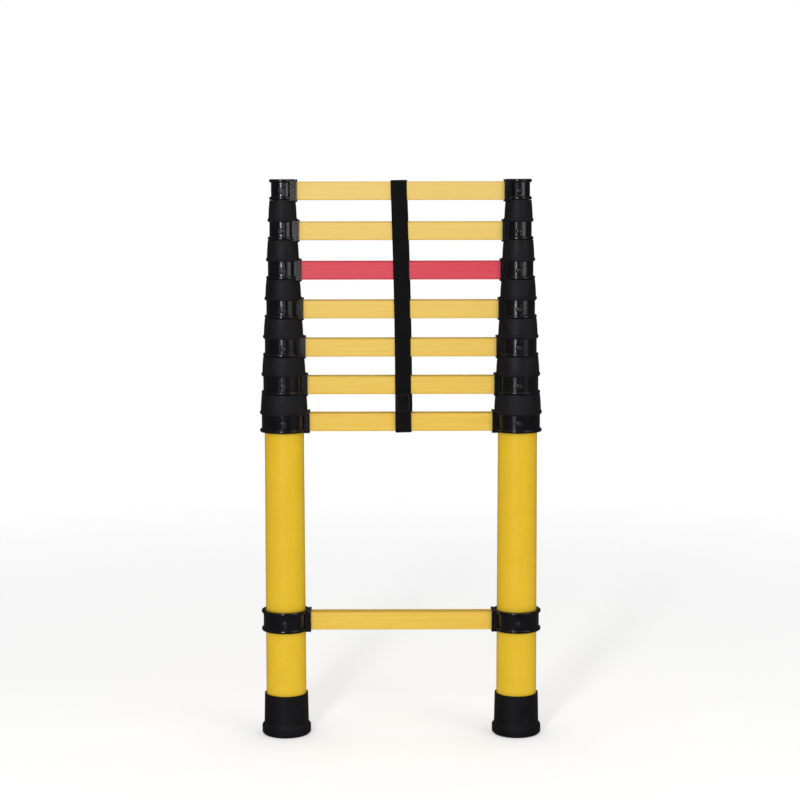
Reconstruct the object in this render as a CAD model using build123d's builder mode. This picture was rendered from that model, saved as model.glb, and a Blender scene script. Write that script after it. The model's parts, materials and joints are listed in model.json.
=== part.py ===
"""Telescoping ladder: seven pairs of tapered glass-fibre tubes that slide into each other.

Millimetres. Z is up, X runs along the rungs, the ladder faces -Y. The origin is on the floor,
midway between the two feet. The ladder is modelled closed: section 1 stands on the feet and
sections 2 to 7 are stacked on it.
"""
from build123d import *
import os

# ---------------------------------------------------------------- driving dimensions
STILE_SPACING = 383.2          # between the axes of the two stiles
SECTIONS = 7                   # telescoping sections
RUNG_PITCH = 330.0             # rung spacing when a section is drawn out
STACK_PITCH = 60.9             # rung spacing when closed, from section 1 to section 2
STACK_PITCH_GROWTH = 0.75      # each sleeve further up is this much taller
LOWER_RUNG_Z = 192.4           # rung clamped near the bottom of section 1
FIRST_RUNG_Z = 524.0           # rung of section 1

TUBE_TOP_R = 32.1              # outer radius of tube 1 at its top end
SECTION_STEP = 3.07            # each section is this much smaller in radius
TUBE_WALL = 2.0
TAPER = 0.0024                 # growth of a tube's radius per millimetre downwards
TUBE_BOTTOM_Z = 10.0           # tube 1 stands this high in its foot
TUBE_OVERLAP = 100.0           # what stays in the tube below when drawn out
TUBE_RISE = 12.0               # a tube ends this far above its collar, inside the sleeve

COLLAR_H = 35.0
COLLAR_RISE = 2.8              # middle of a collar's band over the middle of its rung
FIRST_COLLAR_RISE = 1.0        # the same on section 1 and its clamps
TOP_COLLAR_TRIM = 1.4          # the topmost collar carries no sleeve and is this much lower
COLLAR_BAND_R = 36.9           # section 1
BEAD_PROUD = 3.0               # flange beads stand this far out of the band
BEAD_H = 5.5
BEAD_ROUND = 2.3               # fillet of a bead's outer edges
FIT = 0.05                     # glued fit between a tube and what surrounds it
PART_GAP = 0.3                 # between things that move past each other
SOCKET_W = 33.5                # rung socket, front to back
SOCKET_H = 35.6
SOCKET_ROUND = 2.0
SOCKET_ROOT = 1.0              # socket's box starts this far inside the bore, which trims it
SOCKET_PROUD = 2.3             # socket mouth stands this far out of the flange
SOCKET_LIP = 3.0               # thickness of the raised rim at the mouth
SOCKET_LIP_RISE = 0.6
LIP_ROUND = 2.5
RIB_W = 1.4                    # two fine upright ribs, broken by the rivet's seat
RIB_PROUD = 0.7
RIB_SPACING = 6.8
SOCKET_FLOOR = 1.5             # wall left between the tube and the rung's end

RUNG_W = 25.0                  # front to back
RUNG_H = 30.0
RUNG_WALL = 2.5
RUNG_CORNER_R = 3.0
GRIP_GROOVES = 5
GRIP_GROOVE_W = 1.4
GRIP_GROOVE_D = 0.7
GRIP_GROOVE_PITCH = 3.8
SPIGOT_L = 20.0                # tongue of the socket inside the hollow rung
SPIGOT_GAP = 0.3
SPIGOT_ROUND = 1.0

SLEEVE_SKIRT = 6.0             # sleeve's bead laps this far over its collar
SLEEVE_FLARE = 1.5
SLEEVE_EDGE = 1.6              # rounding of the bead's lower edge
SLEEVE_BEAD_RISE = 0.6         # the bead ends this far above the collar
SLEEVE_CROWN = 0.35            # the cone's side bulges this much

RIVET_HEAD_R = 4.5
RIVET_HEAD_T = 1.8
RIVET_SHANK_R = 2.4
RIVET_DIMPLE_R = 1.7
RIVET_SEAT_R = 5.2
RIVET_SEAT_D = 0.8
RIVET_RIM = 0.6                # height of the head's straight rim
RIVET_CROWN_IN = 0.7           # middle point of the head's dome, from its rim
RIVET_CROWN_DOWN = 0.25        # and from its top
RIVET_DIMPLE_CHAMFER = 0.3
RIVET_DIMPLE_D = 1.4

FOOT_TOP_Z = 69.5
FOOT_UPPER_R = 36.0
FOOT_LOWER_R = 40.6
FOOT_SHOULDER_Z = 19.5
FOOT_SHOULDER_H = 4.0
FOOT_FLARE = 1.1               # growth of the upper part's radius down to the shoulder
FOOT_CHAMFER = 3.5
FOOT_ROUND = 1.8
FOOT_PLUG_H = 15.0             # ring inside the tube
FOOT_PLUG_WALL = 5.0
SOLE_GROOVES_R = (16, 22, 28)
SOLE_GROOVE_W = 2.4
SOLE_GROOVE_D = 2.0

CAP_FLANGE_T = 1.5
CAP_SKIRT = 12.0
CAP_WALL = 2.0
CAP_FLOOR_T = 1.0

STRAP_W = 26.0
STRAP_T = 1.6
STRAP_GAP = 0.5                # strap to rung, and between the two overlapping ends
STRAP_LAP = 34.0               # length of the closure
STRAP_LEAN = -1.02             # degrees, the closed strap sits slightly askew
STRAP_X = -2.9                 # strap's centre where it crosses the top rung
STRAP_BACK_SHIFT = 1.6         # the back run sits this far to the right of the front run

RIVET_SIDES = (-1, 1)          # one rivet in front, one behind
STILES = {"left": -1, "right": 1}
JOINT_OFFSET = 0.01            # overlap that makes solids of one piece fuse


# ---------------------------------------------------------------- derived dimensions
def stack_pitch(section):
    """Rung spacing, when closed, from a section to the one above it."""
    return STACK_PITCH + STACK_PITCH_GROWTH * (section - 1)


def rung_z(section):
    """Height of a section's rung."""
    return FIRST_RUNG_Z + sum(stack_pitch(below) for below in range(1, section))


def collar_rise(section):
    return FIRST_COLLAR_RISE if section == 1 else COLLAR_RISE


def collar_bottom(section):
    return rung_z(section) + collar_rise(section) - COLLAR_H / 2


def collar_top(section):
    trim = TOP_COLLAR_TRIM if section == SECTIONS else 0
    return collar_bottom(section) + COLLAR_H - trim


def tube_top_z(section):
    """The last tube ends under its cap; the others stand up inside their sleeves."""
    rise = -CAP_FLANGE_T if section == SECTIONS else TUBE_RISE
    return collar_top(section) + rise


def tube_bottom_z(section):
    if section == 1:
        return TUBE_BOTTOM_Z
    travel = RUNG_PITCH - stack_pitch(section - 1)
    return tube_top_z(section - 1) - travel - TUBE_OVERLAP


def tube_r(section, z):
    """Outer radius of a tube at a height."""
    reference_z = collar_top(section) + TUBE_RISE
    return TUBE_TOP_R - SECTION_STEP * (section - 1) + TAPER * (reference_z - z)


def band_r(section):
    return COLLAR_BAND_R - SECTION_STEP * (section - 1)


def socket_root(section, z):
    """Distance from the tube's axis to the start of the socket box of the rung at z."""
    return bore_r(section, z) - SOCKET_ROOT


def flange_r(section):
    return band_r(section) + BEAD_PROUD


def bore_r(section, z):
    """Bore of a collar whose rung is at z."""
    return tube_r(section, z - COLLAR_H / 2) + FIT


def stile_x(side):
    return side * STILE_SPACING / 2


def rung_half_length(section, z):
    """The rung stops just short of the socket's floor."""
    return STILE_SPACING / 2 - bore_r(section, z) - SOCKET_FLOOR - FIT


# ---------------------------------------------------------------- planes
def profile_plane(side):
    """Upright plane through a stile's axis; local x is the radius and local y the height."""
    return Plane(origin=(stile_x(side), 0, 0), x_dir=(1, 0, 0), z_dir=(0, -1, 0))


def stile_axis(side):
    return Axis((stile_x(side), 0, 0), (0, 0, 1))


def rung_plane(x, z, facing=1):
    """Plane across a rung at x; local x is front to back and local y is the height."""
    return Plane(origin=(x, 0, z), x_dir=(0, facing, 0), z_dir=(facing, 0, 0))


def rivet_axis(side, z):
    return Axis((stile_x(side), 0, z), (0, 1, 0))


# ---------------------------------------------------------------- the pieces
def make_tube(section, side, rivet_heights):
    """Tapered tube with the holes of its rivets."""
    top = tube_top_z(section)
    bottom = tube_bottom_z(section)
    top_r = tube_r(section, top)
    bottom_r = tube_r(section, bottom)
    with BuildPart() as tube:
        with BuildSketch(profile_plane(side)):
            with BuildLine():
                Polyline(
                    (bottom_r - TUBE_WALL, bottom),
                    (bottom_r, bottom),
                    (top_r, top),
                    (top_r - TUBE_WALL, top),
                    close=True,
                )
            make_face()
        revolve(axis=stile_axis(side))
        for z in rivet_heights:
            with BuildSketch(Plane(origin=(stile_x(side), 0, z), x_dir=(1, 0, 0), z_dir=(0, -1, 0))):
                Circle(RIVET_SHANK_R + FIT)
            extrude(amount=bottom_r + TUBE_WALL, both=True, mode=Mode.SUBTRACT)
    return tube.part


def make_collar(section, side, z, low, high, top_bead):
    """Moulded collar: a band round the tube, beads at its ends and the socket of a rung.

    The rung is at z, and the band reaches from low to high.
    """
    inward = -side
    bore = bore_r(section, z)
    band = band_r(section)
    flange = flange_r(section)
    mouth = flange + SOCKET_PROUD
    bead_heights = [low + BEAD_H / 2]
    if top_bead:
        bead_heights.append(high - BEAD_H / 2)
    with BuildPart() as collar:
        with BuildSketch(profile_plane(side)):
            with Locations(((bore + band) / 2, (low + high) / 2)):
                Rectangle(band - bore, high - low)
        revolve(axis=stile_axis(side))
        for height in bead_heights:
            with BuildSketch(profile_plane(side)) as bead:
                with Locations(((bore + flange) / 2, height)):
                    Rectangle(flange - bore, BEAD_H)
                fillet(bead.vertices().group_by(Axis.X)[-1], BEAD_ROUND)
            revolve(axis=stile_axis(side))
        # upright ribs in front and behind
        rib_top = high - BEAD_H / 2 if top_bead else high - SLEEVE_SKIRT - FIT
        rib_low = low + BEAD_H / 2
        with BuildSketch(Plane.XY.offset(rib_low)):
            with Locations((stile_x(side), 0)):
                with GridLocations(RIB_SPACING, 1, 2, 1):
                    Rectangle(RIB_W, 2 * (band + RIB_PROUD))
        extrude(amount=rib_top - rib_low)
        # socket box and the raised rim at its mouth
        root = socket_root(section, z)
        with BuildSketch(rung_plane(stile_x(side) + inward * root, z, inward)):
            RectangleRounded(SOCKET_W, SOCKET_H, SOCKET_ROUND)
        extrude(amount=mouth - root)
        with BuildSketch(rung_plane(stile_x(side) + inward * (mouth - SOCKET_LIP), z, inward)):
            with Locations((0, SOCKET_LIP_RISE / 2)):
                lip_w = SOCKET_W + 2 * SOCKET_LIP_RISE
                RectangleRounded(lip_w, SOCKET_H + SOCKET_LIP_RISE, LIP_ROUND)
        extrude(amount=SOCKET_LIP)
        # pocket for the rung, with the tongue that fills the hollow rung
        floor = bore + SOCKET_FLOOR
        with BuildSketch(rung_plane(stile_x(side) + inward * floor, z, inward)):
            RectangleRounded(RUNG_W + 2 * FIT, RUNG_H + 2 * FIT, RUNG_CORNER_R)
        extrude(amount=mouth, mode=Mode.SUBTRACT)
        with BuildSketch(rung_plane(stile_x(side) + inward * (floor - JOINT_OFFSET), z, inward)):
            tongue_w = RUNG_W - 2 * (RUNG_WALL + SPIGOT_GAP)
            tongue_h = RUNG_H - 2 * (RUNG_WALL + SPIGOT_GAP)
            RectangleRounded(tongue_w, tongue_h, SPIGOT_ROUND)
        extrude(amount=SPIGOT_L)
        # bore, rivet seats and rivet holes
        with BuildSketch(Plane.XY.offset(z - COLLAR_H)):
            with Locations((stile_x(side), 0)):
                Circle(bore)
        extrude(amount=2 * COLLAR_H, mode=Mode.SUBTRACT)
        for facing in RIVET_SIDES:
            seat_y = facing * (band - RIVET_SEAT_D)
            seat_plane = Plane(origin=(stile_x(side), seat_y, z), x_dir=(1, 0, 0), z_dir=(0, facing, 0))
            with BuildSketch(seat_plane):
                Circle(RIVET_SEAT_R)
            extrude(amount=BEAD_PROUD + RIVET_SEAT_D, mode=Mode.SUBTRACT)
        with BuildSketch(Plane(origin=(stile_x(side), 0, z), x_dir=(1, 0, 0), z_dir=(0, -1, 0))):
            Circle(RIVET_SHANK_R + FIT)
        extrude(amount=band + BEAD_PROUD, both=True, mode=Mode.SUBTRACT)
    return collar.part


def make_sleeve(section, side):
    """Rubber bumper over a tube's end: a bead that laps over the collar and a cone above it."""
    inward = -side
    foot_z = collar_top(section)
    top_z = collar_bottom(section + 1) - PART_GAP
    tube_end = tube_top_z(section)
    seat_r = tube_r(section, foot_z) + FIT
    lip_r = tube_r(section, tube_end) - TUBE_WALL
    bead = flange_r(section)
    cone_low_r = bead - SLEEVE_FLARE
    cone_top_r = flange_r(section + 1) - PART_GAP
    mouth = bead + SOCKET_PROUD
    with BuildPart() as sleeve:
        with BuildSketch(profile_plane(side)):
            with BuildLine():
                low = (band_r(section) + FIT, foot_z - SLEEVE_SKIRT)
                bead_low = (bead - SLEEVE_EDGE, foot_z - SLEEVE_SKIRT)
                bead_mid = (bead, foot_z - SLEEVE_SKIRT / 2)
                bead_top = (cone_low_r, foot_z + SLEEVE_BEAD_RISE)
                Line(low, bead_low)
                ThreePointArc(bead_low, bead_mid, bead_top)
                cone_mid = ((cone_low_r + cone_top_r) / 2 + SLEEVE_CROWN, (foot_z + top_z) / 2)
                ThreePointArc(bead_top, cone_mid, (cone_top_r, top_z))
                Polyline(
                    (cone_top_r, top_z),
                    (lip_r, top_z),
                    (lip_r, tube_end),
                    (seat_r, tube_end),
                    (seat_r, foot_z),
                    (band_r(section) + FIT, foot_z),
                    low,
                )
            make_face()
        revolve(axis=stile_axis(side))
        # room for the socket below and its raised rim, and a notch for the socket above
        socket_top = rung_z(section) + SOCKET_H / 2 + FIT
        root = socket_root(section, rung_z(section)) - PART_GAP
        next_root = socket_root(section + 1, rung_z(section + 1)) - PART_GAP
        next_socket_low = rung_z(section + 1) - SOCKET_H / 2 - PART_GAP
        cuts = [
            (root, SOCKET_W + 2 * PART_GAP, foot_z - COLLAR_H, socket_top),
            (
                mouth - SOCKET_LIP - FIT,
                SOCKET_W + 2 * (SOCKET_LIP_RISE + FIT),
                foot_z - COLLAR_H,
                socket_top + SOCKET_LIP_RISE,
            ),
            (next_root, SOCKET_W + 2 * PART_GAP, next_socket_low, top_z + PART_GAP),
        ]
        for start, width, low_z, high_z in cuts:
            with BuildSketch(rung_plane(stile_x(side) + inward * start, (low_z + high_z) / 2, inward)):
                Rectangle(width, high_z - low_z)
            extrude(amount=mouth, mode=Mode.SUBTRACT)
    return sleeve.part


def make_rung(section, z):
    """Hollow pultruded rung with grip grooves along its top."""
    half = rung_half_length(section, z)
    with BuildPart() as rung:
        with BuildSketch(rung_plane(0, z)):
            RectangleRounded(RUNG_W, RUNG_H, RUNG_CORNER_R)
            RectangleRounded(
                RUNG_W - 2 * RUNG_WALL, RUNG_H - 2 * RUNG_WALL, RUNG_CORNER_R / 2, mode=Mode.SUBTRACT
            )
            with Locations((0, RUNG_H / 2)):
                with GridLocations(GRIP_GROOVE_PITCH, 1, GRIP_GROOVES, 1):
                    Rectangle(GRIP_GROOVE_W, 2 * GRIP_GROOVE_D, mode=Mode.SUBTRACT)
        extrude(amount=half, both=True)
    return rung.part


def make_foot(side):
    """Rubber boot round tube 1, with a plug inside the tube and rings moulded in its sole."""
    bore = tube_r(1, TUBE_BOTTOM_Z) + FIT
    plug_r = bore - TUBE_WALL - 4 * FIT
    plug_top = TUBE_BOTTOM_Z + FOOT_PLUG_H
    with BuildPart() as foot:
        with BuildSketch(profile_plane(side)) as outline:
            with BuildLine():
                Polyline(
                    (0, 0),
                    (FOOT_LOWER_R - FOOT_CHAMFER, 0),
                    (FOOT_LOWER_R, FOOT_CHAMFER),
                    (FOOT_LOWER_R, FOOT_SHOULDER_Z - FOOT_SHOULDER_H),
                    (FOOT_UPPER_R + FOOT_FLARE, FOOT_SHOULDER_Z),
                    (FOOT_UPPER_R, FOOT_TOP_Z),
                    (bore, FOOT_TOP_Z),
                    (bore, TUBE_BOTTOM_Z),
                    (plug_r, TUBE_BOTTOM_Z),
                    (plug_r, plug_top),
                    (plug_r - FOOT_PLUG_WALL, plug_top),
                    (plug_r - FOOT_PLUG_WALL, TUBE_BOTTOM_Z),
                    (0, TUBE_BOTTOM_Z),
                    close=True,
                )
            make_face()
            for groove_r in SOLE_GROOVES_R:
                with Locations((groove_r, 0)):
                    Rectangle(SOLE_GROOVE_W, 2 * SOLE_GROOVE_D, mode=Mode.SUBTRACT)
            outer = outline.vertices().filter_by(lambda v: v.X > FOOT_UPPER_R + FOOT_FLARE / 2)
            fillet(outer, FOOT_ROUND)
        revolve(axis=stile_axis(side))
    return foot.part


def make_top_caps():
    """Plugs that close the two narrowest tubes."""
    tube_end = tube_top_z(SECTIONS)
    inner_r = tube_r(SECTIONS, tube_end) - TUBE_WALL - FIT
    rim_r = tube_r(SECTIONS, tube_end)
    with BuildPart() as caps:
        for side in STILES.values():
            with BuildSketch(profile_plane(side)):
                with BuildLine():
                    Polyline(
                        (0, tube_end + CAP_FLANGE_T),
                        (rim_r, tube_end + CAP_FLANGE_T),
                        (rim_r, tube_end),
                        (inner_r, tube_end),
                        (inner_r, tube_end - CAP_SKIRT),
                        (inner_r - CAP_WALL, tube_end - CAP_SKIRT),
                        (inner_r - CAP_WALL, tube_end - CAP_FLOOR_T),
                        (0, tube_end - CAP_FLOOR_T),
                        close=True,
                    )
                make_face()
            revolve(axis=stile_axis(side))
    return caps.part


def make_rivets(section, heights):
    """Blind rivets of one section, front and back, through collar and tube."""
    seat_r = band_r(section) - RIVET_SEAT_D
    head_r = seat_r + RIVET_HEAD_T
    with BuildPart() as rivets:
        for side in STILES.values():
            for z in heights:
                shank_end = tube_r(section, z) - TUBE_WALL + 4 * FIT
                for facing in RIVET_SIDES:
                    plane = Plane(origin=(stile_x(side), 0, z), x_dir=(1, 0, 0), z_dir=(0, 0, -facing))
                    with BuildSketch(plane):
                        with BuildLine():
                            rim_top = (RIVET_HEAD_R, seat_r + RIVET_RIM)
                            crown = (RIVET_HEAD_R - RIVET_CROWN_IN, head_r - RIVET_CROWN_DOWN)
                            dimple_edge = (RIVET_DIMPLE_R + RIVET_DIMPLE_CHAMFER, head_r)
                            Polyline(
                                (0, shank_end),
                                (RIVET_SHANK_R, shank_end),
                                (RIVET_SHANK_R, seat_r),
                                (RIVET_HEAD_R, seat_r),
                                rim_top,
                            )
                            ThreePointArc(rim_top, crown, dimple_edge)
                            Polyline(
                                dimple_edge,
                                (RIVET_DIMPLE_R, head_r - RIVET_DIMPLE_CHAMFER),
                                (RIVET_DIMPLE_R, head_r - RIVET_DIMPLE_D),
                                (0, head_r - RIVET_DIMPLE_D),
                                (0, shank_end),
                            )
                        make_face()
                    revolve(axis=rivet_axis(side, z))
    return rivets.part


def strap_plane(x):
    """Plane across the strap, leaning with it; local x is front to back, local y is the height."""
    across = Vector(1, 0, 0).rotate(Axis.Y, STRAP_LEAN)
    return Plane(origin=(x, 0, rung_z(SECTIONS)), x_dir=(0, 1, 0), z_dir=across)


def make_strap(near, far_z, lap_z):
    """Half of the strap: a webbing U round one rung.

    near is the distance of the webbing's inner face from the rung's middle, front and back.
    far_z is the height of the bend's inner face over the strap plane's origin, and lap_z the
    height of the two free ends.
    """
    bend_r = RUNG_CORNER_R + STRAP_GAP
    outward = 1 if far_z > lap_z else -1
    half_w = near + STRAP_T / 2
    bend_z = far_z + outward * STRAP_T / 2
    with BuildPart() as strap:
        for shift, ends in ((0, -1), (STRAP_BACK_SHIFT, 1)):
            with BuildSketch(strap_plane(STRAP_X + shift)):
                with BuildLine():
                    FilletPolyline(
                        (0, bend_z),
                        (ends * half_w, bend_z),
                        (ends * half_w, lap_z),
                        radius=bend_r + STRAP_T / 2,
                    )
                    offset(amount=STRAP_T / 2, side=Side.BOTH)
                make_face()
            extrude(amount=STRAP_W / 2, both=True)
    return strap.part


# ---------------------------------------------------------------- build and write
def write(part, node):
    part.label = node
    export_step(part, f"parts/{node}.step")


os.makedirs("parts", exist_ok=True)

for section in range(1, SECTIONS + 1):
    rung_height = rung_z(section)
    fixed_heights = [rung_height]
    if section == 1:
        fixed_heights.append(LOWER_RUNG_Z)
    for name, side in STILES.items():
        write(make_tube(section, side, fixed_heights), f"{name}_tube_{section}")
        topmost = section == SECTIONS
        low, high = collar_bottom(section), collar_top(section)
        collar = make_collar(section, side, rung_height, low, high, topmost)
        write(collar, f"{name}_collar_{section}")
    write(make_rung(section, rung_height), f"rung_{section}")
    write(make_rivets(section, fixed_heights), f"rivets_{section}")

for section in range(1, SECTIONS):
    with BuildPart() as sleeve_pair:
        add(make_sleeve(section, STILES["left"]))
        add(make_sleeve(section, STILES["right"]))
    write(sleeve_pair.part, f"sleeves_{section}")

clamp_low = LOWER_RUNG_Z + FIRST_COLLAR_RISE - COLLAR_H / 2
for name, side in STILES.items():
    clamp = make_collar(1, side, LOWER_RUNG_Z, clamp_low, clamp_low + COLLAR_H, True)
    write(clamp, f"{name}_clamp")
    write(make_foot(side), f"{name}_foot")

write(make_rung(1, LOWER_RUNG_Z), "lower_rung")
write(make_top_caps(), "top_caps")

half_rung = RUNG_W / 2 + STRAP_GAP
stack_height = rung_z(SECTIONS) - rung_z(1)
upper_ends = -stack_height + RUNG_H / 2
write(make_strap(half_rung, RUNG_H / 2 + STRAP_GAP, upper_ends), "strap_upper")
lower_near = half_rung + STRAP_T + STRAP_GAP
lower_bend = -stack_height - RUNG_H / 2 - STRAP_GAP
write(make_strap(lower_near, lower_bend, upper_ends + STRAP_LAP), "strap_lower")
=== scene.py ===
# %% [markdown]
# # A telescoping ladder, closed and strapped
#
# The ladder is seven pairs of tapered glass-fibre tubes that slide into each other. Every pair
# carries a rung in two glossy moulded collars, and a rubber sleeve cushions the pair above it.
# The sizes and moving bodies come from the engineering model, which is loaded as a fixed frame.
# This lesson adds what engineering leaves out: finishes, webbing, stitches and rivet heads.

# %% Load the frame
import json
from math import cos, pi, radians, sin

import bmesh
import bpy
from mathutils import Matrix, Vector

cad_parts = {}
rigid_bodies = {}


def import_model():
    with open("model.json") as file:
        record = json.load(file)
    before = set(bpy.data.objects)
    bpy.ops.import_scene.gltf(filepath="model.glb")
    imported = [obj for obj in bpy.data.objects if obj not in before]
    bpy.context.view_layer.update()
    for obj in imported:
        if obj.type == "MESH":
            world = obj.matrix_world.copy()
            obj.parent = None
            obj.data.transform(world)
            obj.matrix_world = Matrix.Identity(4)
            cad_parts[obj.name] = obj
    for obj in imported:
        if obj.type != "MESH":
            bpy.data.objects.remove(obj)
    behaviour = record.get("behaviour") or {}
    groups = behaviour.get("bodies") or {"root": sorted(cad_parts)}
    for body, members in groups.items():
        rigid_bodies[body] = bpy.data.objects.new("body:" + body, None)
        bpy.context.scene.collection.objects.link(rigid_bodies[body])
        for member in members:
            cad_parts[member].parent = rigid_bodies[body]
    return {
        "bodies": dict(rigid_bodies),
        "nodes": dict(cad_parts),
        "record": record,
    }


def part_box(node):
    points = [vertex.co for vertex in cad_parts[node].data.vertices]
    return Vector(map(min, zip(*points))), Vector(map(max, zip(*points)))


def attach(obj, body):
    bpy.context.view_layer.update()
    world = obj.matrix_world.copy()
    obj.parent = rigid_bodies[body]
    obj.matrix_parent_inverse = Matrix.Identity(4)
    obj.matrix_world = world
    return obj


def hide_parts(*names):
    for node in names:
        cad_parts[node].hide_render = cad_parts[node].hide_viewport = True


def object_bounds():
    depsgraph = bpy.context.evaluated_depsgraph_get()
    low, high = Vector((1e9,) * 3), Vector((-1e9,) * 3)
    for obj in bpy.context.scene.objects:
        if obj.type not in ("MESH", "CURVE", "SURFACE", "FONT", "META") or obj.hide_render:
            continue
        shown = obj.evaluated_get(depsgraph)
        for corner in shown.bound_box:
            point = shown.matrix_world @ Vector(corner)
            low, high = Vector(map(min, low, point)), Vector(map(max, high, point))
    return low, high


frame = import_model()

cad_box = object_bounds()
MM = 0.001
SECTIONS = len(frame["bodies"])

# %% [markdown]
# ## Small tools
#
# Every finish is a graph of shader nodes. One helper adds a node and fills its sockets: a value
# goes into the socket, and another node's output is wired to it. It keeps each material short
# enough to read as a recipe.


# %% A node and its sockets in one call
def node(tree, kind, sockets=None, **settings):
    """Adds a node; sockets maps a socket's name or number to a value or to another output."""
    made = tree.nodes.new(kind)
    for key, value in settings.items():
        setattr(made, key, value)
    for key, value in (sockets or {}).items():
        if isinstance(value, bpy.types.NodeSocket):
            tree.links.new(value, made.inputs[key])
        else:
            made.inputs[key].default_value = value
    return made


def math_node(tree, operation, a, b=0.0, clamp=False):
    return node(tree, "ShaderNodeMath", {0: a, 1: b}, operation=operation, use_clamp=clamp).outputs[0]


def blend_colours(tree, factor, a, b):
    """Mixes two colours and returns the result's socket."""
    return node(tree, "ShaderNodeMix", {0: factor, 6: a, 7: b}, data_type="RGBA").outputs[2]


def map_range(tree, value, low, high, to_low, to_high):
    sockets = {0: value, 1: low, 2: high, 3: to_low, 4: to_high}
    return node(tree, "ShaderNodeMapRange", sockets).outputs[0]


print("node helpers ready")

# %% [markdown]
# ## Shared effects
#
# Moulded edges are never knife sharp, handled plastic scuffs along its edges, and drawn fibre
# shows streaks. More than one finish needs each of these, so each becomes a node group with
# named inputs. A group gives out only masks and normals; the shader stays in the material.


# %% Group builder
def new_group(name, inputs, outputs):
    """An empty shader node group. inputs maps a name to (socket type, default)."""
    tree = bpy.data.node_groups.new(name, "ShaderNodeTree")
    for label, (kind, default) in inputs.items():
        made = tree.interface.new_socket(label, in_out="INPUT", socket_type=kind)
        made.default_value = default
    for label, kind in outputs.items():
        tree.interface.new_socket(label, in_out="OUTPUT", socket_type=kind)
    return tree, node(tree, "NodeGroupInput").outputs, node(tree, "NodeGroupOutput").inputs


FLOAT, VECTOR = "NodeSocketFloat", "NodeSocketVector"


def use_group(tree, group, **values):
    """Places a group in a material; keyword names are its inputs with _ for a space."""
    placed = node(tree, "ShaderNodeGroup", node_tree=group)
    for key, value in values.items():
        socket = placed.inputs[key.replace("_", " ")]
        if isinstance(value, bpy.types.NodeSocket):
            tree.links.new(value, socket)
        else:
            socket.default_value = value
    return placed.outputs


# %% Soft edge: rounds an edge for the light and marks where it would scuff
def build_soft_edge():
    inputs = {"Radius": (FLOAT, 0.0006), "Scuff Scale": (FLOAT, 180.0), "Scuff": (FLOAT, 0.5)}
    tree, given, out = new_group("soft_edge", inputs, {"Normal": VECTOR, "Mask": FLOAT})
    rounded = node(tree, "ShaderNodeBevel", {"Radius": given["Radius"]}, samples=6).outputs[0]
    facing = node(tree, "ShaderNodeNewGeometry").outputs["Normal"]
    agreement = node(tree, "ShaderNodeVectorMath", {0: rounded, 1: facing}, operation="DOT_PRODUCT")
    edge = map_range(tree, agreement.outputs["Value"], 0.98, 0.80, 0.0, 1.0)
    place = node(tree, "ShaderNodeTexCoord").outputs["Object"]
    noise = node(tree, "ShaderNodeTexNoise", {"Vector": place, "Scale": given["Scuff Scale"], "Detail": 4.0})
    broken = map_range(tree, noise.outputs[0], 0.42, 0.68, 0.0, 1.0)
    mask = math_node(tree, "MULTIPLY", edge, broken)
    tree.links.new(rounded, out["Normal"])
    tree.links.new(math_node(tree, "MULTIPLY", mask, given["Scuff"], True), out["Mask"])
    return tree


SOFT_EDGE = build_soft_edge()


# %% Streaks: noise drawn out along one direction, for fibres and brushed marks
def build_streaks():
    inputs = {"Stretch": (VECTOR, (1.0, 1.0, 1.0)), "Scale": (FLOAT, 400.0), "Contrast": (FLOAT, 0.2)}
    tree, given, out = new_group("streaks", inputs, {"Mask": FLOAT, "Fine": FLOAT})
    place = node(tree, "ShaderNodeTexCoord").outputs["Object"]
    drawn = node(tree, "ShaderNodeMapping", {"Vector": place, "Scale": given["Stretch"]}).outputs[0]
    sockets = {"Vector": drawn, "Scale": given["Scale"], "Detail": 5.0, "Roughness": 0.62}
    noise = node(tree, "ShaderNodeTexNoise", sockets).outputs[0]
    low = math_node(tree, "SUBTRACT", 0.5, given["Contrast"])
    high = math_node(tree, "ADD", 0.5, given["Contrast"])
    tree.links.new(map_range(tree, noise, low, high, 0.0, 1.0), out["Mask"])
    tree.links.new(noise, out["Fine"])
    return tree


STREAKS = build_streaks()


# %% Dust: a thin film that settles on faces turned upwards, broken up by noise
def build_dust():
    tree, given, out = new_group("dust", {"Amount": (FLOAT, 0.3)}, {"Mask": FLOAT})
    facing = node(tree, "ShaderNodeNewGeometry").outputs["Normal"]
    upward = node(tree, "ShaderNodeSeparateXYZ", {0: facing}).outputs["Z"]
    settled = map_range(tree, upward, 0.2, 1.0, 0.06, 1.0)
    place = node(tree, "ShaderNodeTexCoord").outputs["Object"]
    noise = node(tree, "ShaderNodeTexNoise", {"Vector": place, "Scale": 90.0, "Detail": 6.0}).outputs[0]
    patchy = map_range(tree, noise, 0.35, 0.75, 0.0, 1.0)
    film = math_node(tree, "MULTIPLY", settled, patchy)
    tree.links.new(math_node(tree, "MULTIPLY", film, given["Amount"], True), out["Mask"])
    return tree


DUST = build_dust()
print("groups", SOFT_EDGE.name, STREAKS.name, DUST.name)


# %% A blank material and its shader
def blank(name, **constants):
    """A new material, its node tree and its shader, with constants set on the shader itself."""
    made = bpy.data.materials.new(name)
    made.use_nodes = True
    shader = made.node_tree.nodes["Principled BSDF"]
    for key, value in constants.items():
        shader.inputs[key.replace("_", " ")].default_value = value
    return made, made.node_tree, shader


def wire(tree, shader, **links):
    """Wires outputs to the shader's sockets."""
    for key, output in links.items():
        tree.links.new(output, shader.inputs[key.replace("_", " ")])


def bump(tree, height, distance, strength=1.0, normal=None):
    sockets = {"Height": height, "Distance": distance, "Strength": strength}
    if normal is not None:
        sockets["Normal"] = normal
    return node(tree, "ShaderNodeBump", sockets).outputs[0]


DUST_COLOUR = (0.30, 0.28, 0.25, 1.0)

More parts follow.
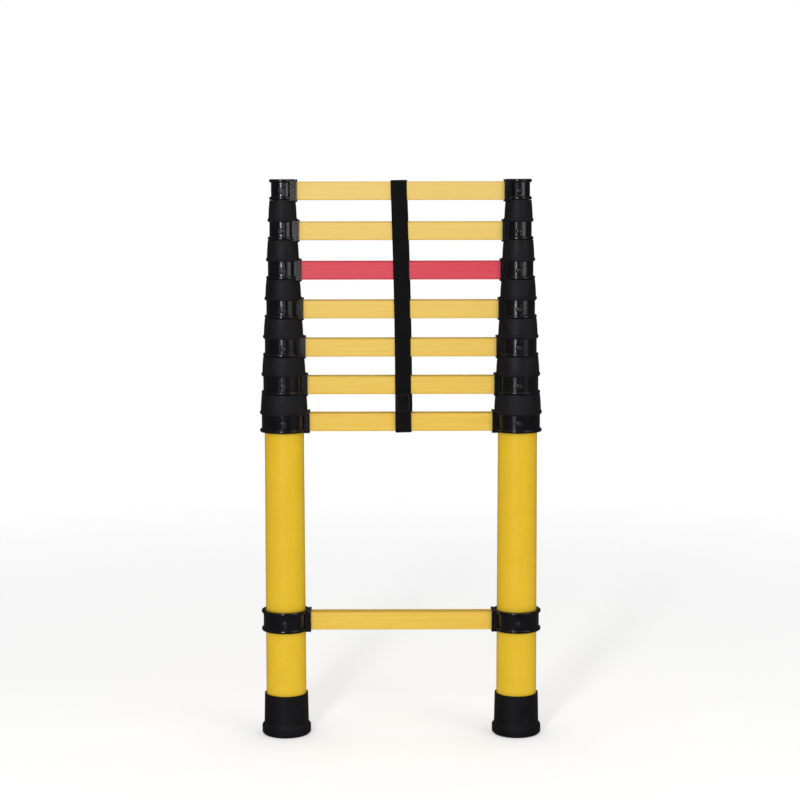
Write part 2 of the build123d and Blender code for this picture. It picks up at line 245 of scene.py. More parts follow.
# %% [markdown]
# ## Glass-fibre tubes
#
# The stiles are wound tubes under a yellow gel coat. Close up, the coat is not flat: fibres show
# through as short pale flecks that run mostly along the tube, the colour drifts a little over a
# hand's width, and the surface has the slight ripple of a polished resin. Three noises at three
# sizes say that better than one busy noise would.


# %% Tube finish
def tube_finish():
    made, tree, shader = blank("tube_gel_coat", Coat_Weight=0.08, Coat_Roughness=0.2, Specular_IOR_Level=0.35)
    flecks = use_group(tree, STREAKS, Stretch=(1.0, 1.0, 0.22), Scale=620.0, Contrast=0.16)
    winding = use_group(tree, STREAKS, Stretch=(0.12, 0.12, 1.0), Scale=260.0, Contrast=0.2)
    place = node(tree, "ShaderNodeTexCoord").outputs["Object"]
    drift = node(tree, "ShaderNodeTexNoise", {"Vector": place, "Scale": 14.0, "Detail": 2.0}).outputs[0]
    drift = map_range(tree, drift, 0.3, 0.7, 0.0, 1.0)
    body = blend_colours(tree, drift, (0.725, 0.454, 0.006, 1.0), (0.776, 0.489, 0.0085, 1.0))
    fleck = math_node(tree, "MULTIPLY", flecks["Mask"], 0.30)
    body = blend_colours(tree, fleck, body, (0.84, 0.60, 0.045, 1.0))
    band = math_node(tree, "MULTIPLY", winding["Mask"], 0.16)
    body = blend_colours(tree, band, body, (0.655, 0.394, 0.005, 1.0))
    rough = map_range(tree, flecks["Fine"], 0.3, 0.7, 0.34, 0.46)
    height = math_node(tree, "ADD", winding["Fine"], math_node(tree, "MULTIPLY", flecks["Fine"], 0.5))
    wire(tree, shader, Base_Color=body, Roughness=rough, Normal=bump(tree, height, 0.00009, 0.6))
    return made


TUBE_FINISH = tube_finish()

# %% [markdown]
# ## Glass-fibre rungs
#
# The rungs are pultruded: bundles of fibre are pulled through a heated die, so every mark runs
# along the rung. The coat is thinner than on the tubes, and the pale glass shows through it.
# The rungs are coloured paler towards the top of the stack. The yellow rungs and the one red rung
# are the same product, so one function makes both.


# %% Rung finish
def rung_finish(name, deep, pale, upper_tint):
    made, tree, shader = blank(name, Specular_IOR_Level=0.4, Coat_Weight=0.06, Coat_Roughness=0.3)
    grain = use_group(tree, STREAKS, Stretch=(0.035, 1.0, 1.0), Scale=900.0, Contrast=0.17)
    bundles = use_group(tree, STREAKS, Stretch=(0.02, 1.0, 1.0), Scale=240.0, Contrast=0.2)
    edge = use_group(tree, SOFT_EDGE, Radius=0.0005, Scuff_Scale=120.0, Scuff=0.35)
    threads = math_node(tree, "MULTIPLY", grain["Mask"], 0.45)
    broad = math_node(tree, "MULTIPLY", bundles["Mask"], 0.55)
    amount = math_node(tree, "ADD", threads, broad, True)
    colour = blend_colours(tree, amount, deep, pale)
    place = node(tree, "ShaderNodeTexCoord").outputs["Object"]
    height = node(tree, "ShaderNodeSeparateXYZ", {0: place}).outputs["Z"]
    # the rungs are coloured paler towards the top of the stack, by height alone
    paler_upwards = map_range(tree, height, 0.50, 0.92, 0.0, 0.55)
    colour = blend_colours(tree, paler_upwards, colour, upper_tint)
    colour = blend_colours(tree, edge["Mask"], colour, (0.80, 0.70, 0.42, 1.0))
    rough = map_range(tree, grain["Fine"], 0.3, 0.7, 0.38, 0.55)
    height = math_node(tree, "ADD", grain["Fine"], math_node(tree, "MULTIPLY", bundles["Fine"], 0.6))
    relief = bump(tree, height, 0.00010, 0.8, edge["Normal"])
    wire(tree, shader, Base_Color=colour, Roughness=rough, Normal=relief)
    return made


YELLOW = {
    "deep": (0.74, 0.435, 0.022, 1.0),
    "pale": (0.835, 0.575, 0.095, 1.0),
    "upper_tint": (0.845, 0.63, 0.225, 1.0),
}
RED = {
    "deep": (0.58, 0.015, 0.043, 1.0),
    "pale": (0.74, 0.072, 0.112, 1.0),
    "upper_tint": (0.72, 0.058, 0.092, 1.0),
}
YELLOW_RUNG = rung_finish("rung_yellow", **YELLOW)
RED_RUNG = rung_finish("rung_red", **RED)

# %% [markdown]
# ## Moulded plastic, rubber and painted metal
#
# Everything black on the ladder is a different black. The collars are injection moulded and
# shine; the sleeves and feet are rubber, and stay dull; the rivets are painted aluminium whose
# paint has gone from the rim. What tells them apart is roughness, so that is where each of
# these finishes puts its effort.


# %% Collar finish
def collar_finish():
    made, tree, shader = blank("collar_nylon", Coat_Weight=0.25, Coat_Roughness=0.06)
    edge = use_group(tree, SOFT_EDGE, Radius=0.0009, Scuff_Scale=160.0, Scuff=0.30)
    dust = use_group(tree, DUST, Amount=0.10)
    flow = use_group(tree, STREAKS, Stretch=(1.0, 1.0, 0.3), Scale=70.0, Contrast=0.2)
    place = node(tree, "ShaderNodeTexCoord").outputs["Object"]
    skin = node(tree, "ShaderNodeTexNoise", {"Vector": place, "Scale": 1500.0, "Detail": 3.0}).outputs[0]
    colour = blend_colours(tree, edge["Mask"], (0.0030, 0.0028, 0.0044, 1.0), (0.030, 0.029, 0.033, 1.0))
    colour = blend_colours(tree, dust["Mask"], colour, DUST_COLOUR)
    rough = map_range(tree, flow["Fine"], 0.3, 0.7, 0.14, 0.26)
    rough = math_node(tree, "ADD", rough, math_node(tree, "MULTIPLY", edge["Mask"], 0.25), True)
    height = math_node(tree, "ADD", math_node(tree, "MULTIPLY", flow["Fine"], 2.0), skin)
    relief = bump(tree, height, 0.00007, 0.6, edge["Normal"])
    wire(tree, shader, Base_Color=colour, Roughness=rough, Normal=relief)
    return made


COLLAR_FINISH = collar_finish()


# %% Rubber finishes
def rubber_finish(name, tone, dust_amount):
    made, tree, shader = blank(name, Specular_IOR_Level=0.3, Sheen_Weight=0.02, Sheen_Roughness=0.5)
    edge = use_group(tree, SOFT_EDGE, Radius=0.0008, Scuff_Scale=90.0, Scuff=0.35)
    dust = use_group(tree, DUST, Amount=dust_amount)
    place = node(tree, "ShaderNodeTexCoord").outputs["Object"]
    grit = node(tree, "ShaderNodeTexNoise", {"Vector": place, "Scale": 1800.0, "Detail": 4.0}).outputs[0]
    smear = node(tree, "ShaderNodeTexNoise", {"Vector": place, "Scale": 35.0, "Detail": 4.0}).outputs[0]
    cloud = map_range(tree, smear, 0.35, 0.7, 0.0, 1.0)
    pale = tuple(channel * 1.9 for channel in tone)
    colour = blend_colours(tree, cloud, (*tone, 1.0), (*pale, 1.0))
    colour = blend_colours(tree, edge["Mask"], colour, (0.045, 0.044, 0.046, 1.0))
    colour = blend_colours(tree, dust["Mask"], colour, DUST_COLOUR)
    rough = map_range(tree, smear, 0.3, 0.7, 0.50, 0.68)
    relief = bump(tree, grit, 0.00012, 0.5, edge["Normal"])
    wire(tree, shader, Base_Color=colour, Roughness=rough, Normal=relief)
    return made


SLEEVE_FINISH = rubber_finish("sleeve_rubber", (0.0037, 0.0031, 0.0058), 0.05)
FOOT_FINISH = rubber_finish("foot_rubber", (0.0021, 0.0017, 0.0032), 0.05)


# %% Painted metal of the rivets
def rivet_finish():
    made, tree, shader = blank("rivet_paint", Coat_Weight=0.3, Coat_Roughness=0.12)
    edge = use_group(tree, SOFT_EDGE, Radius=0.0004, Scuff_Scale=700.0, Scuff=0.8)
    place = node(tree, "ShaderNodeTexCoord").outputs["Object"]
    orange_peel = node(tree, "ShaderNodeTexNoise", {"Vector": place, "Scale": 2200.0}).outputs[0]
    bare = math_node(tree, "MULTIPLY", edge["Mask"], 0.6)
    colour = blend_colours(tree, bare, (0.010, 0.010, 0.012, 1.0), (0.42, 0.42, 0.43, 1.0))
    rough = map_range(tree, orange_peel, 0.3, 0.7, 0.22, 0.36)
    relief = bump(tree, orange_peel, 0.00004, 0.5, edge["Normal"])
    wire(tree, shader, Base_Color=colour, Roughness=rough, Metallic=bare, Normal=relief)
    return made


RIVET_FINISH = rivet_finish()

# %% [markdown]
# ## Webbing
#
# The strap is flat woven webbing. Its weave follows the strap round each bend, so it reads the
# strap's own UV map, which is laid out in metres: U along the strap and V across it. Two waves
# crossed out of step give the raised ribs of a plain weave.


# %% Webbing finish
RIB_PITCH = 0.0016
YARN_PITCH = 0.0011


def woven_height(tree):
    """Height of the weave: warp floats along the strap broken by the ribs across it."""
    laid = node(tree, "ShaderNodeUVMap", uv_map="strap").outputs[0]
    axes = node(tree, "ShaderNodeSeparateXYZ", {0: laid}).outputs
    yarn = math_node(tree, "MULTIPLY", axes["Y"], pi / YARN_PITCH)
    parity = math_node(tree, "FLOOR", math_node(tree, "DIVIDE", axes["Y"], YARN_PITCH))
    step = math_node(tree, "MULTIPLY", parity, pi / 2)
    rib = math_node(tree, "ADD", math_node(tree, "MULTIPLY", axes["X"], pi / RIB_PITCH), step)
    across = math_node(tree, "ABSOLUTE", math_node(tree, "SINE", yarn))
    along = math_node(tree, "ABSOLUTE", math_node(tree, "SINE", rib))
    return math_node(tree, "MULTIPLY", math_node(tree, "POWER", across, 0.6), along), laid


def webbing_finish(name, tone, pale, relief_depth):
    made, tree, shader = blank(name, Specular_IOR_Level=0.2, Sheen_Weight=0.03, Sheen_Roughness=0.4)
    weave, laid = woven_height(tree)
    fuzz = node(tree, "ShaderNodeTexNoise", {"Vector": laid, "Scale": 2600.0, "Detail": 3.0}).outputs[0]
    worn = node(tree, "ShaderNodeTexNoise", {"Vector": laid, "Scale": 60.0, "Detail": 4.0}).outputs[0]
    # painted shade: the hollows of the weave are darker and the raised yarn paler, varied in patches by wear
    weave_shade_and_wear = math_node(tree, "MULTIPLY", weave, map_range(tree, worn, 0.3, 0.7, 0.35, 0.9))
    colour = blend_colours(tree, weave_shade_and_wear, tone, pale)
    rough = map_range(tree, fuzz, 0.3, 0.7, 0.55, 0.8)
    height = math_node(tree, "ADD", weave, math_node(tree, "MULTIPLY", fuzz, 0.25))
    wire(tree, shader, Base_Color=colour, Roughness=rough, Normal=bump(tree, height, relief_depth, 0.9))
    return made


YARN_DARK = (0.0016, 0.0015, 0.0022, 1.0)
YARN_PALE = (0.0080, 0.0070, 0.0090, 1.0)
WEBBING = webbing_finish("webbing_black", YARN_DARK, YARN_PALE, 0.0004)


# %% Thread, and the tape of the closure
def thread_finish():
    made, tree, shader = blank("strap_thread", Sheen_Weight=0.3, Roughness=0.6)
    twist = use_group(tree, STREAKS, Stretch=(1.0, 1.0, 1.0), Scale=3200.0, Contrast=0.2)
    colour = blend_colours(tree, twist["Mask"], (0.012, 0.012, 0.013, 1.0), (0.045, 0.044, 0.047, 1.0))
    wire(tree, shader, Base_Color=colour, Normal=bump(tree, twist["Fine"], 0.0001, 0.7))
    return made


def tape_finish():
    """Hook-and-loop tape: thousands of tiny bristles, too small to model one by one."""
    made, tree, shader = blank("closure_tape", Sheen_Weight=0.6, Sheen_Roughness=0.4)
    place = node(tree, "ShaderNodeTexCoord").outputs["Object"]
    cells = node(tree, "ShaderNodeTexVoronoi", {"Vector": place, "Scale": 1100.0}).outputs["Distance"]
    colour = blend_colours(tree, cells, (0.030, 0.029, 0.030, 1.0), (0.005, 0.005, 0.005, 1.0))
    rough = map_range(tree, cells, 0.0, 0.6, 0.85, 0.65)
    wire(tree, shader, Base_Color=colour, Roughness=rough, Normal=bump(tree, cells, 0.0005, 0.9))
    return made


THREAD = thread_finish()
TAPE = tape_finish()
print("finishes", [made.name for made in bpy.data.materials])

# %% [markdown]
# ## Dress the engineering parts
#
# The tubes, collars, rungs, sleeves, feet and caps already have the right shape, so their own
# meshes stay as they are and only their material slots change. A short table says which finish
# belongs to which kind of part.

# %% Give each carried-over node its finish
FINISH_OF_SLOT = {
    "frp_tube": TUBE_FINISH,
    "frp_rung": YELLOW_RUNG,
    "frp_rung_red": RED_RUNG,
    "collar_plastic": COLLAR_FINISH,
    "cap_plastic": COLLAR_FINISH,
    "sleeve_rubber": SLEEVE_FINISH,
    "foot_rubber": FOOT_FINISH,
    "rivet": RIVET_FINISH,
    "webbing": WEBBING,
}
slot_of_node = {entry["node"]: entry["material_slot"] for entry in frame["record"]["subparts"]}
for name, part in frame["nodes"].items():
    finish = FINISH_OF_SLOT[slot_of_node[name]]
    for place in part.material_slots:
        place.material = finish
print("dressed", len(slot_of_node), "nodes")


# %% [markdown]
# ## Rivet heads
#
# A blind rivet closes every collar, front and back. Its head is a shallow dome with a hole down
# the middle, where the broken stem sits. All the heads are the same, so one is turned on a
# lathe here and a Geometry Nodes tree sets it on a cloud of points, one point for each rivet.
# The tree's inputs are the pattern and its size; the points carry the direction each one faces.


# %% A lathe for small turned parts
def turned(name, outline, segments):
    """Spins (radius, height) points round Z. The outline starts and ends on the axis."""
    mesh = bpy.data.meshes.new(name)
    work = bmesh.new()
    rings = []
    for radius, height in outline:
        if radius == 0:
            rings.append([work.verts.new((0, 0, height))])
            continue
        angles = [2 * pi * k / segments for k in range(segments)]
        rings.append([work.verts.new((radius * cos(a), radius * sin(a), height)) for a in angles])
    for low, high in zip(rings, rings[1:]):
        for k in range(segments):
            after = (k + 1) % segments
            corners = [low[k % len(low)], low[after % len(low)], high[after % len(high)], high[k % len(high)]]
            work.faces.new(list(dict.fromkeys(corners)))
    bmesh.ops.recalc_face_normals(work, faces=work.faces)
    for face in work.faces:
        face.smooth = True
    work.to_mesh(mesh)
    work.free()
    return mesh


# %% One rivet head: flange, dome, stem hole and the stem's broken end
HEAD_RADIUS = 4.5 * MM


def rivet_outline():
    """The head's half section, in units of its radius."""
    rim = [(0.90, 0.02), (0.985, 0.07), (1.0, 0.15), (0.975, 0.23)]
    dome = [(0.40 + 0.54 * cos(a), 0.20 + 0.20 * sin(a)) for a in [radians(18 * k) for k in range(1, 6)]]
    hole = [(0.37, 0.385), (0.355, 0.35), (0.35, 0.22)]
    stem = [(0.30, 0.215), (0.29, 0.24), (0.20, 0.27), (0.08, 0.255), (0.0, 0.26)]
    return [(0.0, -0.05), (0.88, -0.05)] + rim + dome + hole + stem


head_mesh = turned("rivet_head", rivet_outline(), 32)
head = bpy.data.objects.new("rivet_head_pattern", head_mesh)
print("rivet head faces", len(head_mesh.polygons))


# %% The tree that sets a pattern on every point
def setting_tree():
    tree = bpy.data.node_groups.new("set_on_points", "GeometryNodeTree")
    sides = tree.interface
    sides.new_socket("Points", in_out="INPUT", socket_type="NodeSocketGeometry")
    sides.new_socket("Pattern", in_out="INPUT", socket_type="NodeSocketObject")
    sides.new_socket("Pattern Size", in_out="INPUT", socket_type="NodeSocketFloat")
    sides.new_socket("Finish", in_out="INPUT", socket_type="NodeSocketMaterial")
    sides.new_socket("Pieces", in_out="OUTPUT", socket_type="NodeSocketGeometry")
    given = node(tree, "NodeGroupInput").outputs
    facing = node(tree, "GeometryNodeInputNamedAttribute", {"Name": "facing"}, data_type="FLOAT_VECTOR")
    turn = node(tree, "FunctionNodeAlignRotationToVector", {"Vector": facing.outputs[0]}, axis="Z")
    pattern = node(tree, "GeometryNodeObjectInfo", {"Object": given["Pattern"]})
    sockets = {
        "Points": given["Points"],
        "Instance": pattern.outputs["Geometry"],
        "Rotation": turn.outputs[0],
        "Scale": given["Pattern Size"],
    }
    placed = node(tree, "GeometryNodeInstanceOnPoints", sockets).outputs[0]
    real = node(tree, "GeometryNodeRealizeInstances", {0: placed}).outputs[0]
    coated = node(tree, "GeometryNodeSetMaterial", {"Geometry": real, "Material": given["Finish"]})
    tree.links.new(coated.outputs[0], node(tree, "NodeGroupOutput").inputs[0])
    return tree


SETTING_TREE = setting_tree()


# %% Running a tree and keeping its result as a plain mesh
def grown(name, source, tree, **values):
    """Runs a Geometry Nodes tree on a mesh and returns an object with the result's mesh."""
    carrier = bpy.data.objects.new(name + "_source", source)
    bpy.context.scene.collection.objects.link(carrier)
    modifier = carrier.modifiers.new("grow", "NODES")
    modifier.node_group = tree
    for socket in tree.interface.items_tree:
        key = socket.name.replace(" ", "_")
        if socket.item_type == "SOCKET" and socket.in_out == "INPUT" and key in values:
            modifier[socket.identifier] = values[key]
    bpy.context.view_layer.update()
    graph = bpy.context.evaluated_depsgraph_get()
    mesh = bpy.data.meshes.new_from_object(carrier.evaluated_get(graph))
    mesh.name = name
    bpy.data.objects.remove(carrier)
    piece = bpy.data.objects.new(name, mesh)
    bpy.context.scene.collection.objects.link(piece)
    return piece


def middle(node_name):
    low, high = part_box(node_name)
    return (Vector(low) + Vector(high)) / 2


# %% Points for the rivets of each section
bpy.context.scene.collection.objects.link(head)
STILE_X = middle("left_foot").x
HEAD_T = 1.8 * MM
for section in range(1, SECTIONS + 1):
    low, high = (Vector(corner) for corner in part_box(f"rivets_{section}"))
    heights = [low.z + HEAD_RADIUS] + ([high.z - HEAD_RADIUS] if section == 1 else [])
    seat = high.y - HEAD_T
    places = [(x, side * seat, z, side) for x in (STILE_X, -STILE_X) for z in heights for side in (-1, 1)]
    cloud = bpy.data.meshes.new(f"rivet_points_{section}")
    cloud.from_pydata([place[:3] for place in places], [], [])
    facing = cloud.attributes.new("facing", "FLOAT_VECTOR", "POINT")
    facing.data.foreach_set("vector", [c for place in places for c in (0.0, place[3], 0.0)])
    given = {"Pattern": head, "Pattern_Size": HEAD_RADIUS, "Finish": RIVET_FINISH}
    heads = grown(f"rivet_heads_{section}", cloud, SETTING_TREE, **given)
    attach(heads, f"section_{section}")
    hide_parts(f"rivets_{section}")
    print(heads.name, len(heads.data.polygons), "faces,", len(places), "rivets")
bpy.data.objects.remove(head)

# %% [markdown]
# ## The strap
#
# One strap of 26 mm webbing keeps the stack closed. It is modelled as two lengths, because the
# closure parts when the ladder opens: a long one hangs over the top rung, front and back, and a
# short one comes up from under the lowest rung of the stack to overlap it. Webbing is stiff
# across and limp along, so each length is a flat section swept along a side view of its path.
# It lies flat over the rungs, bellies out a little between them, and leans by one degree.

# %% Sizes of the strap, from the parts that it holds
WEB_WIDTH = 26.0 * MM
WEB_THICK = 1.6 * MM
LEAN = radians(1.02)
BOW = 1.7 * MM
BEND = 4.3 * MM
BELLY = 0.9 * MM
STRAP_X = -2.9 * MM
BACK_SHIFT_TOP = 1.0 * MM
BACK_SHIFT_LOW = 2.4 * MM
CURL = 0.8 * MM
CURL_LENGTH = 9.0 * MM
CROSSING = 16.0 * MM             # depth over which the strap shifts from its front run to its back run
rung_middles = [middle(f"rung_{k}").z for k in range(1, SECTIONS + 1)]
upper_low, upper_high = (Vector(corner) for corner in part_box("strap_upper"))
lower_low, lower_high = (Vector(corner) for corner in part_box("strap_lower"))
pivot_z = rung_middles[-1]
print("strap from", round(lower_low.z, 4), "to", round(upper_high.z, 4), "over", SECTIONS, "rungs")


# %% How far the strap strays from a straight run
def share_down(z):
    """0 at the top rung and 1 at the lowest rung of the stack."""
    return (pivot_z - z) / (pivot_z - rung_middles[0])


def belly(z):
    """Nothing where the strap lies on a rung, and most halfway between two rungs."""
    for low, high in zip(rung_middles, rung_middles[1:]):
        if low <= z <= high:
            return BELLY * sin(pi * (z - low) / (high - low)) ** 2
    return 0.0


def belly_and_curl(z):
    """The free ends of the short length follow the long one and curl away from it at the tip."""
    tip = max(0.0, 1.0 - (lower_tip - z) / CURL_LENGTH)
    return belly(z) + CURL * tip * tip


def sideways(y, z):
    """The strap bows to the right halfway down, and its back run peeks out past the front run."""
    behind = min(max((y + CROSSING / 2) / CROSSING, 0.0), 1.0)
    behind = behind * behind * (3 - 2 * behind)
    down = share_down(z)
    back_shift = BACK_SHIFT_TOP + (BACK_SHIFT_LOW - BACK_SHIFT_TOP) * down
    return BOW * sin(pi * min(max(down, 0.0), 1.0)) + back_shift * behind


# %% Side view of a length of webbing
def u_path(reach, crown, ends, stray, step=1.0 * MM):
    """Points (y, z) of a U whose legs stand at -reach and +reach, from one free end to the other."""
    up = 1 if crown > ends else -1
    turn_z = crown - up * BEND
    count = int(abs(turn_z - ends) / step)
    leg = [ends + (turn_z - ends) * k / count for k in range(count + 1)]
    corner = [radians(90 * k / 8) for k in range(1, 9)]
    front = [(-reach - stray(z), z) for z in leg]
    front += [(-reach + BEND - BEND * cos(a), turn_z + up * BEND * sin(a)) for a in corner]
    inner = reach - BEND
    across = [(-inner + 2 * inner * k / 16, crown) for k in range(1, 16)]
    back = [(-y, z) for y, z in reversed(front)]
    return front + across + back


# %% Sweeping a flat section along a path
def webbing_section(width, thick, columns=14, turns=4):
    """Outline of the webbing cut across: two flat faces joined by rounded selvedges."""
    half, radius = width / 2 - thick / 2, thick / 2
    front = [(-half + 2 * half * k / columns, radius) for k in range(columns + 1)]
    right = [(half + radius * sin(pi * k / turns), radius * cos(pi * k / turns)) for k in range(1, turns)]
    back = [(half - 2 * half * k / columns, -radius) for k in range(columns + 1)]
    left = [(-half - radius * sin(pi * k / turns), -radius * cos(pi * k / turns)) for k in range(1, turns)]
    return front + right + back + left


def swept(name, path, width, thick):
    """A closed band swept along a path; its UV map holds metres along and across."""
    section = webbing_section(width, thick)
    mesh = bpy.data.meshes.new(name)
    work = bmesh.new()
    laid = work.loops.layers.uv.new("strap")
    points = [Vector((0, y, z)) for y, z in path]
    travelled, rings, lengths = 0.0, [], []
    for k, point in enumerate(points):
        ahead = points[min(k + 1, len(points) - 1)] - points[max(k - 1, 0)]
        outward = Vector((1, 0, 0)).cross(ahead.normalized())
        if k:
            travelled += (point - points[k - 1]).length
        lengths.append(travelled)
        aside = sideways(point.y, point.z)
        placed = [point + Vector((across + aside, 0, 0)) + outward * out for across, out in section]
        rings.append([work.verts.new(corner) for corner in placed])
    count = len(section)
    for k in range(len(rings) - 1):
        for m in range(count):
            n = (m + 1) % count
            face = work.faces.new((rings[k][m], rings[k][n], rings[k + 1][n], rings[k + 1][m]))
            face.smooth = True
            steps = ((k, m), (k, n), (k + 1, n), (k + 1, m))
            for loop, (row, column) in zip(face.loops, steps):
                loop[laid].uv = (lengths[row], section[column][0])
    for ring in (rings[0], rings[-1]):
        work.faces.new(ring)
    bmesh.ops.recalc_face_normals(work, faces=work.faces)
    work.to_mesh(mesh)
    work.free()
    return mesh


LEANING = Matrix.Translation((STRAP_X, 0, pivot_z)) @ Matrix.Rotation(-LEAN, 4, "Y")
LEANING = LEANING @ Matrix.Translation((0, 0, -pivot_z))


def add_piece(name, mesh, material, body, replaced=None):
    """Puts a mesh in the scene as a piece that rides on a body."""
    mesh.materials.append(material)
    piece = bpy.data.objects.new(name, mesh)
    bpy.context.scene.collection.objects.link(piece)
    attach(piece, body)
    if replaced:
        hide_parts(replaced)
    return piece


# %% The long length, over the top rung
half_thick = WEB_THICK / 2
UPPER_BODY = f"section_{SECTIONS}"
upper_reach = upper_high.y - half_thick
upper_crown = upper_high.z - half_thick
upper_tip = upper_low.z + half_thick
upper = swept("strap_upper_webbing", u_path(upper_reach, upper_crown, upper_tip, belly), WEB_WIDTH, WEB_THICK)
upper.transform(LEANING)
add_piece("strap_upper_webbing", upper, WEBBING, UPPER_BODY, "strap_upper")
print("long length", len(upper.polygons), "faces")

# %% The short length, under the lowest rung of the stack
lower_reach = lower_high.y - half_thick
lower_crown = lower_low.z + half_thick
lower_tip = lower_high.z - half_thick
lower_path = u_path(lower_reach, lower_crown, lower_tip, belly_and_curl)
lower = swept("strap_lower_webbing", lower_path, WEB_WIDTH, WEB_THICK)
lower.transform(LEANING)
add_piece("strap_lower_webbing", lower, WEBBING, "section_1", "strap_lower")
print("short length", len(lower.polygons), "faces")

# %% [markdown]
# ## The closure
#
# Hook-and-loop tape holds the two lengths together: a soft loop tape on the outside of the long
# one, and a hook tape inside each tip of the short one. Each tape is a thin band that follows
# the webbing under it. A lockstitched rectangle sews it on. One stitch is a short bead of thread,
# and the same kind of Geometry Nodes tree that set the rivets lays it along the seam.

# %% Tapes
TAPE_WIDTH = 22.0 * MM
LOOP_TAPE_T = 0.25 * MM
HOOK_TAPE_T = 0.15 * MM
TAPE_MARGIN = 2.0 * MM
lap_low = upper_tip + TAPE_MARGIN
lap_high = lower_tip - TAPE_MARGIN


def tape(name, stray, out, side, thick, body):
    """A tape on one leg of the strap, its middle plane standing out from the rungs' middle."""
    count = 32
    heights = [lap_low + (lap_high - lap_low) * k / count for k in range(count + 1)]
    path = [(side * (out + stray(z)), z) for z in heights]
    mesh = swept(name, path, TAPE_WIDTH, thick)
    mesh.transform(LEANING)
    return add_piece(name, mesh, TAPE, body)


for label, side in (("front", -1), ("back", 1)):
    loop_out = upper_reach + half_thick + LOOP_TAPE_T / 2
    hook_out = lower_reach - half_thick - HOOK_TAPE_T / 2
    tape(f"loop_tape_{label}", belly, loop_out, side, LOOP_TAPE_T, UPPER_BODY)
    tape(f"hook_tape_{label}", belly_and_curl, hook_out, side, HOOK_TAPE_T, "section_1")
print("tapes from", round(lap_low, 4), "to", round(lap_high, 4))

# %% One stitch: a bead of thread that dips into the webbing at both ends
STITCH_LENGTH = 2.6 * MM
STITCH_PITCH = 3.1 * MM
THREAD_RADIUS = 0.22 * MM
THREAD_SINK = 0.15 * MM           # the soft loop tape gives way under the thread
SEAM_INSET = 1.5 * MM


def stitch_outline():
    """Half section of the bead along its length, in units of that length."""
    thin = THREAD_RADIUS / STITCH_LENGTH
    return [(0.0, -0.5), (0.55 * thin, -0.47), (thin, -0.34), (thin, 0.34), (0.55 * thin, 0.47), (0.0, 0.5)]


stitch = bpy.data.objects.new("stitch_pattern", turned("stitch", stitch_outline(), 6))
bpy.context.scene.collection.objects.link(stitch)
print("stitch faces", len(stitch.data.polygons))


# %% Seams: a rectangle of stitches on each leg
def seam_points(half_width, low, high):
    """(across, height, direction along the seam) for each stitch of a rectangle."""
    up = Vector((0, 0, 1))
    over = Vector((1, 0, 0))
    rise = max(2, round((high - low) / STITCH_PITCH))
    run = max(2, round(2 * half_width / STITCH_PITCH))
    heights = [low + (high - low) * (k + 0.5) / rise for k in range(rise)]
    acrosses = [-half_width + 2 * half_width * (k + 0.5) / run for k in range(run)]
    sides = [(edge, z, up) for edge in (-half_width, half_width) for z in heights]
    ends = [(across, z, over) for across in acrosses for z in (low, high)]
    return sides + ends


def sewn(name, stray, out, body):
    """Sews the rectangle on both legs of a length and returns the number of stitches."""
    half_width = TAPE_WIDTH / 2 - SEAM_INSET
    places, directions = [], []
    for side in (-1, 1):
        for across, z, along in seam_points(half_width, lap_low + TAPE_MARGIN, lap_high - TAPE_MARGIN):
            y = side * (out + stray(z))
            places.append((across + sideways(y, z), y, z))
            directions.append(along)
    cloud = bpy.data.meshes.new(name + "_points")
    cloud.from_pydata(places, [], [])
    facing = cloud.attributes.new("facing", "FLOAT_VECTOR", "POINT")
    facing.data.foreach_set("vector", [c for along in directions for c in LEANING.to_3x3() @ along])
    cloud.transform(LEANING)
    seam = grown(name, cloud, SETTING_TREE, Pattern=stitch, Pattern_Size=STITCH_LENGTH, Finish=THREAD)
    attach(seam, body)
    return len(places)


loop_face = upper_reach + half_thick + LOOP_TAPE_T - THREAD_SINK
upper_count = sewn("loop_tape_stitches", belly, loop_face, UPPER_BODY)
lower_count = sewn("hook_tape_stitches", belly_and_curl, lower_reach + half_thick, "section_1")
bpy.data.objects.remove(stitch)
print("stitches", upper_count, "and", lower_count)

# %% [markdown]
# ## Floor, light and camera
#
# A pale floor and a pale surround keep the yellow honest. The surround is bright where the
# camera sees it and dimmer where glossy plastic mirrors it, which keeps the blacks deep. One
# large soft light stands near the camera, a little to the left, as in a small product studio.


# %% Floor
def pale_floor():
    """White near the ladder and fading into the surround; dimmer in the gloss of the parts."""
    made, tree, shader = blank("pale_floor", Roughness=0.9, Specular_IOR_Level=0.1, Emission_Strength=1.0)
    place = node(tree, "ShaderNodeTexCoord").outputs["Object"]
    tone = node(tree, "ShaderNodeTexNoise", {"Vector": place, "Scale": 3.0}).outputs[0]
    white = blend_colours(tree, tone, (0.93, 0.93, 0.93, 1.0), (0.95, 0.95, 0.95, 1.0))
    mirrored = node(tree, "ShaderNodeLightPath").outputs["Is Glossy Ray"]
    colour = blend_colours(tree, mirrored, white, (0.10, 0.10, 0.10, 1.0))
    glow = blend_colours(tree, mirrored, (0.31, 0.31, 0.31, 1.0), (0.0, 0.0, 0.0, 1.0))
    distance = node(tree, "ShaderNodeVectorMath", {0: place}, operation="LENGTH").outputs["Value"]
    fade = map_range(tree, distance, 0.8, 2.4, 1.0, 0.0)
    wire(tree, shader, Base_Color=colour, Emission_Color=glow, Alpha=fade)
    return made


FLOOR_HALF = 14.0
FLOOR_DROP = 0.2 * MM
floor_mesh = bpy.data.meshes.new("floor")
signs = [(-1, -1), (1, -1), (1, 1), (-1, 1)]
floor_mesh.from_pydata([(FLOOR_HALF * x, FLOOR_HALF * y, -FLOOR_DROP) for x, y in signs], [], [(0, 1, 2, 3)])
floor_mesh.materials.append(pale_floor())
floor = bpy.data.objects.new("floor", floor_mesh)
bpy.context.scene.collection.objects.link(floor)
print("floor", 2 * FLOOR_HALF, "m across")


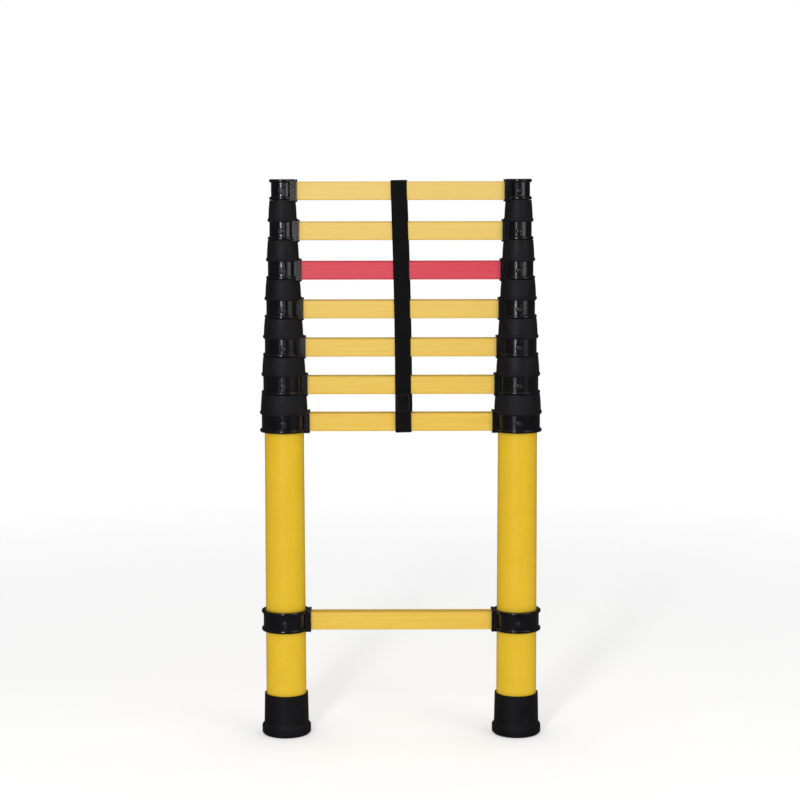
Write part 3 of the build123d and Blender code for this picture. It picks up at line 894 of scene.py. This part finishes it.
# %% Surround: brighter to the camera than to reflections
def surround(seen, mirrored, diffuse):
    world = bpy.data.worlds.new("surround")
    world.use_nodes = True
    tree = world.node_tree
    light_path = node(tree, "ShaderNodeLightPath").outputs
    glossy = math_node(tree, "MULTIPLY", light_path["Is Glossy Ray"], mirrored - diffuse)
    camera = math_node(tree, "MULTIPLY", light_path["Is Camera Ray"], seen - diffuse)
    strength = math_node(tree, "ADD", math_node(tree, "ADD", glossy, camera), diffuse)
    back = tree.nodes["Background"]
    back.inputs["Color"].default_value = (1.0, 1.0, 1.0, 1.0)
    tree.links.new(strength, back.inputs["Strength"])
    return world


bpy.context.scene.world = surround(seen=1.0, mirrored=0.05, diffuse=0.50)
print("surround", bpy.context.scene.world.name)


# %% Lights
def softbox(name, place, target, width, height, power):
    lamp = bpy.data.lights.new(name, "AREA")
    lamp.shape = "RECTANGLE"
    lamp.size = width
    lamp.size_y = height
    lamp.energy = power
    holder = bpy.data.objects.new(name, lamp)
    direction = Vector(target) - Vector(place)
    holder.matrix_world = Matrix.Translation(place) @ direction.to_track_quat("-Z", "Y").to_matrix().to_4x4()
    bpy.context.scene.collection.objects.link(holder)


ladder_middle = (0.0, 0.0, (cad_box[0][2] + cad_box[1][2]) / 2)
softbox("key", (-0.75, -2.8, 1.25), ladder_middle, 0.35, 1.8, 32.0)
softbox("fill", (2.1, -1.9, 1.2), ladder_middle, 1.4, 1.4, 12.0)
softbox("top", (0.0, 0.4, 2.6), ladder_middle, 1.6, 1.6, 6.0)
print("lights", {lamp.name: lamp.energy for lamp in bpy.data.lights})

# %% Camera
CAMERA_DISTANCE = 3.2
CAMERA_HEIGHT = 0.918
CAMERA_X = -0.0014
CAMERA_PITCH = radians(6.4)
CAMERA_ROLL = radians(-0.1)
FOCAL_LENGTH = 88.3
lens = bpy.data.cameras.new("camera")
lens.lens = FOCAL_LENGTH
camera = bpy.data.objects.new("camera", lens)
aim = Matrix.Rotation(pi / 2 - CAMERA_PITCH, 4, "X") @ Matrix.Rotation(CAMERA_ROLL, 4, "Z")
camera.matrix_world = Matrix.Translation((CAMERA_X, -CAMERA_DISTANCE, CAMERA_HEIGHT)) @ aim
bpy.context.scene.collection.objects.link(camera)
bpy.context.scene.camera = camera
bpy.context.scene.view_settings.view_transform = "Standard"
print("camera", round(CAMERA_DISTANCE, 2), "m away,", FOCAL_LENGTH, "mm lens")
